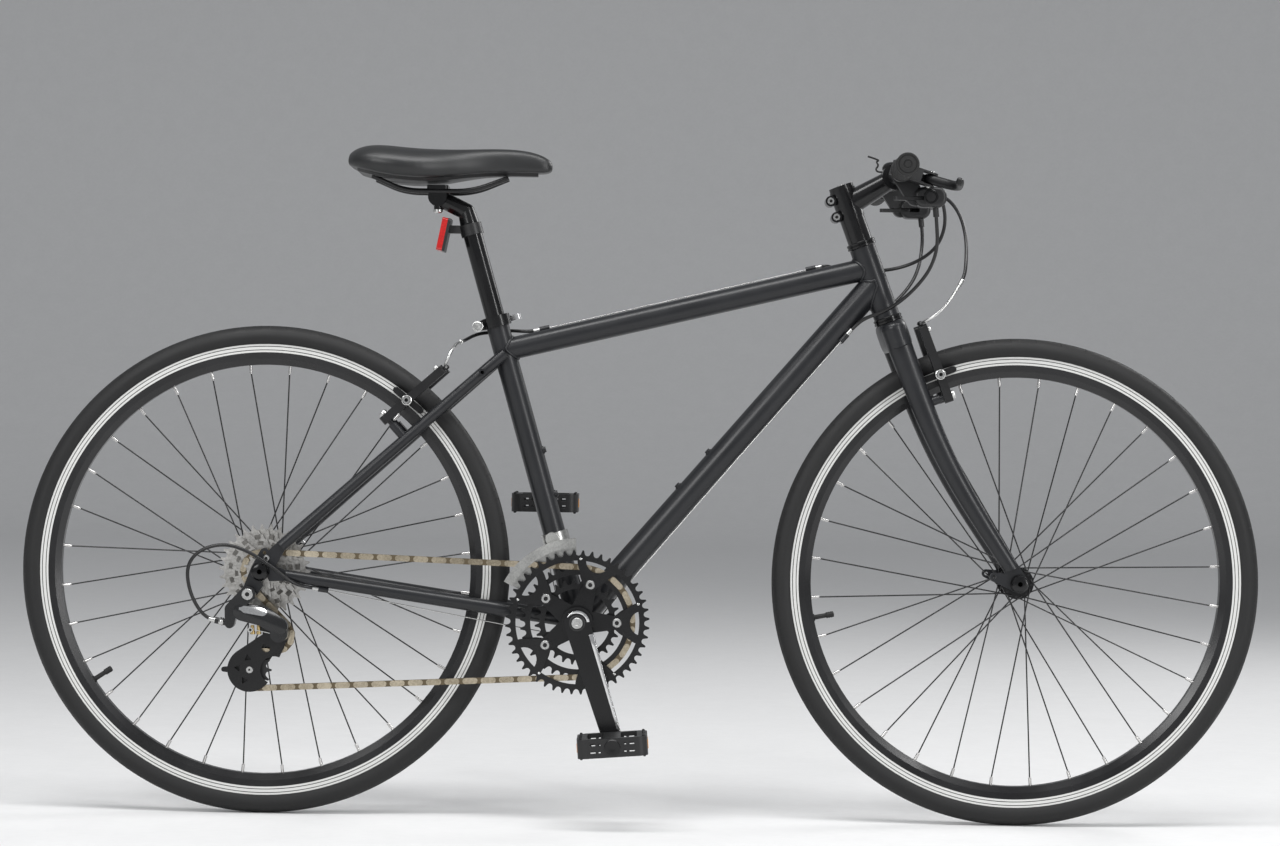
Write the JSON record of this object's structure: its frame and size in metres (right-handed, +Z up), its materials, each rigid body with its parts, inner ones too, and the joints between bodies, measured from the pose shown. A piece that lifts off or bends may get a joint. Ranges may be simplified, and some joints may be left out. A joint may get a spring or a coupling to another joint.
{
  "type": "hybrid bicycle",
  "caption": "Flat-bar hybrid bicycle with rim brakes, triple chainset, derailleurs, spoked wheels, turning steering, sliding seatpost and hinged levers.",
  "frame": {"origin": "on the ground midway between the two axles, in the middle plane", "axes": "+X towards the front wheel, +Y to the rider's left, +Z up"},
  "size_m": [1.741, 0.589, 0.9405],
  "materials": {
    "frame_paint": "satin charcoal paint",
    "black_alloy": "gloss black anodised",
    "silver_alloy": "polished",
    "rim_alloy": "black with a machined brake track",
    "dark_steel": "black",
    "bright_steel": "nickel plated",
    "chain_steel": "golden brown",
    "black_plastic": "moulded",
    "housing": "smooth black sheath",
    "grip_rubber": "matt",
    "tyre_rubber": "matt",
    "saddle_foam": "satin black vinyl over foam",
    "red_lens": "clear red lens"
  },
  "bodies": {
    "frame": {"head_tube": "frame_paint", "top_tube": "frame_paint", "down_tube": "frame_paint", "seat_tube": "frame_paint", "chain_stays": "frame_paint", "seat_stays": "frame_paint", "frame_fittings": "black_alloy", "headset_cups": "black_alloy", "bottom_bracket": "dark_steel", "seat_collar": "black_alloy", "rear_axle": "bright_steel", "front_derailleur": "bright_steel", "rear_derailleur": "black_alloy", "chain": "chain_steel", "frame_cables": "housing", "steering_housings": "housing"},
    "seatpost": {"seatpost": "black_alloy", "saddle_clamp": "black_alloy", "saddle_rails": "dark_steel", "saddle_base": "black_plastic", "saddle_cover": "saddle_foam", "reflector_bracket": "black_plastic", "rear_reflector": "red_lens"},
    "seat_qr_lever": {"seat_qr_lever": "silver_alloy"},
    "rear_qr_lever": {"rear_qr_lever": "silver_alloy"},
    "front_qr_lever": {"front_qr_lever": "silver_alloy"},
    "fork": {"fork": "frame_paint", "headset_spacers": "black_alloy", "stem": "black_alloy", "handlebar": "black_alloy", "grips": "grip_rubber", "control_bodies": "black_plastic", "front_axle": "bright_steel", "front_brake_cable": "housing"},
    "left_brake_lever": {"left_brake_lever": "black_alloy"},
    "right_brake_lever": {"right_brake_lever": "black_alloy"},
    "left_shift_trigger": {"left_shift_trigger": "black_plastic"},
    "right_shift_trigger": {"right_shift_trigger": "black_plastic"},
    "front_brake_arm_left": {"front_brake_arm_left": "black_alloy"},
    "front_brake_arm_right": {"front_brake_arm_right": "black_alloy"},
    "rear_brake_arm_left": {"rear_brake_arm_left": "black_alloy"},
    "rear_brake_arm_right": {"rear_brake_arm_right": "black_alloy"},
    "front_wheel": {"front_tyre": "tyre_rubber", "front_rim": "rim_alloy", "front_spokes": "dark_steel", "front_hub": "black_alloy"},
    "rear_wheel": {"rear_tyre": "tyre_rubber", "rear_rim": "rim_alloy", "rear_spokes": "dark_steel", "rear_hub": "black_alloy"},
    "cassette": {"cassette": "bright_steel"},
    "crank": {"right_crank": "black_alloy", "left_crank": "black_alloy", "chainrings": "dark_steel", "crank_spindle": "dark_steel"},
    "right_pedal": {"right_pedal": "black_plastic"},
    "left_pedal": {"left_pedal": "black_plastic"},
    "derailleur_cage": {"derailleur_cage": "dark_steel"},
    "guide_pulley": {"guide_pulley": "black_plastic"},
    "tension_pulley": {"tension_pulley": "black_plastic"}
  },
  "joints": [
    {"name": "steering", "type": "hinge", "parent": "frame", "child": "fork", "pos_m": [0.34247, 0, 0.7094], "axis": [-0.3502, 0, 0.9367], "range_deg": [-60, 60], "deforming": ["steering_housings"]},
    {"name": "front_wheel_spin", "type": "hinge", "parent": "fork", "child": "front_wheel", "pos_m": [0.5275, 0, 0.343], "axis": [0, 1, 0], "continuous": true},
    {"name": "rear_wheel_spin", "type": "hinge", "parent": "frame", "child": "rear_wheel", "pos_m": [-0.5275, 0, 0.343], "axis": [0, 1, 0], "continuous": true},
    {"name": "crank_turn", "type": "hinge", "parent": "frame", "child": "crank", "pos_m": [-0.087, 0, 0.279], "axis": [0, 1, 0], "continuous": true, "deforming": ["chain"]},
    {"name": "cassette_turn", "type": "hinge", "parent": "frame", "child": "cassette", "pos_m": [-0.5275, 0, 0.343], "axis": [0, 1, 0], "continuous": true},
    {"name": "right_pedal_spin", "type": "hinge", "parent": "crank", "child": "right_pedal", "pos_m": [-0.03447, -0.132, 0.11732], "axis": [0, 1, 0], "continuous": true},
    {"name": "left_pedal_spin", "type": "hinge", "parent": "crank", "child": "left_pedal", "pos_m": [-0.13953, 0.132, 0.44068], "axis": [0, 1, 0], "continuous": true},
    {"name": "cage_swing", "type": "hinge", "parent": "frame", "child": "derailleur_cage", "pos_m": [-0.499, -0.06, 0.258], "axis": [0, 1, 0], "range_deg": [-40, 15], "stiffness_Nm_per_rad": 1.2, "springref_deg": 20.05, "deforming": ["chain"]},
    {"name": "guide_pulley_spin", "type": "hinge", "parent": "derailleur_cage", "child": "guide_pulley", "pos_m": [-0.507, -0.05, 0.253], "axis": [0, 1, 0], "continuous": true},
    {"name": "tension_pulley_spin", "type": "hinge", "parent": "derailleur_cage", "child": "tension_pulley", "pos_m": [-0.54205, -0.05, 0.20537], "axis": [0, 1, 0], "continuous": true},
    {"name": "seatpost_slide", "type": "slide", "parent": "frame", "child": "seatpost", "axis": [-0.2807, 0, 0.9598], "range_m": [-0.08, 0.035]},
    {"name": "seat_qr_turn", "type": "hinge", "parent": "frame", "child": "seat_qr_lever", "pos_m": [-0.23529, 0.016, 0.6899], "axis": [-0.2807, 0, 0.9598], "range_deg": [0, 120]},
    {"name": "rear_qr_turn", "type": "hinge", "parent": "frame", "child": "rear_qr_lever", "pos_m": [-0.5275, 0.0918, 0.343], "axis": [-0.6702, 0, 0.7422], "range_deg": [0, 120]},
    {"name": "front_qr_turn", "type": "hinge", "parent": "fork", "child": "front_qr_lever", "pos_m": [0.5275, 0.0743, 0.343], "axis": [-0.9367, 0, -0.3502], "range_deg": [0, 120]},
    {"name": "left_lever_pull", "type": "hinge", "parent": "fork", "child": "left_brake_lever", "pos_m": [0.38451, 0.15, 0.89676], "axis": [0.2924, 0, 0.9563], "range_deg": [0, 20], "stiffness_Nm_per_rad": 1.5, "springref_deg": -17.19, "deforming": ["front_brake_cable"]},
    {"name": "right_lever_pull", "type": "hinge", "parent": "fork", "child": "right_brake_lever", "pos_m": [0.38451, -0.15, 0.89676], "axis": [0.2924, 0, 0.9563], "range_deg": [-20, 0], "stiffness_Nm_per_rad": 1.5, "springref_deg": 17.19, "deforming": ["frame_cables"]},
    {"name": "front_arm_left_swing", "type": "hinge", "parent": "fork", "child": "front_brake_arm_left", "pos_m": [0.42434, 0.04, 0.60293], "axis": [0.9367, 0, 0.3502], "range_deg": [0, 2.5]},
    {"name": "front_arm_right_swing", "type": "hinge", "parent": "fork", "child": "front_brake_arm_right", "pos_m": [0.42434, -0.04, 0.60293], "axis": [0.9367, 0, 0.3502], "range_deg": [-2.5, 0]},
    {"name": "rear_arm_left_swing", "type": "hinge", "parent": "frame", "child": "rear_brake_arm_left", "pos_m": [-0.35822, 0.04, 0.55926], "axis": [-0.6702, 0, 0.7422], "range_deg": [-2.5, 0]},
    {"name": "rear_arm_right_swing", "type": "hinge", "parent": "frame", "child": "rear_brake_arm_right", "pos_m": [-0.35822, -0.04, 0.55926], "axis": [-0.6702, 0, 0.7422], "range_deg": [0, 2.5]},
    {"name": "left_trigger_press", "type": "hinge", "parent": "fork", "child": "left_shift_trigger", "pos_m": [0.37696, 0.122, 0.87204], "axis": [0, 0, 1], "range_deg": [0, 20], "stiffness_Nm_per_rad": 0.5, "springref_deg": -11.46},
    {"name": "right_trigger_press", "type": "hinge", "parent": "fork", "child": "right_shift_trigger", "pos_m": [0.37696, -0.122, 0.87204], "axis": [0, 0, 1], "range_deg": [-20, 0], "stiffness_Nm_per_rad": 0.5, "springref_deg": 11.46}
  ],
  "couplings": [
    {"joint": "cassette_turn", "follows": "crank_turn", "ratio": 2.9231},
    {"joint": "guide_pulley_spin", "follows": "crank_turn", "ratio": -3.4545},
    {"joint": "tension_pulley_spin", "follows": "crank_turn", "ratio": 2.9231},
    {"joint": "front_arm_left_swing", "follows": "left_lever_pull", "ratio": 0.125},
    {"joint": "front_arm_right_swing", "follows": "left_lever_pull", "ratio": -0.125},
    {"joint": "rear_arm_left_swing", "follows": "right_lever_pull", "ratio": 0.125},
    {"joint": "rear_arm_right_swing", "follows": "right_lever_pull", "ratio": -0.125}
  ]
}
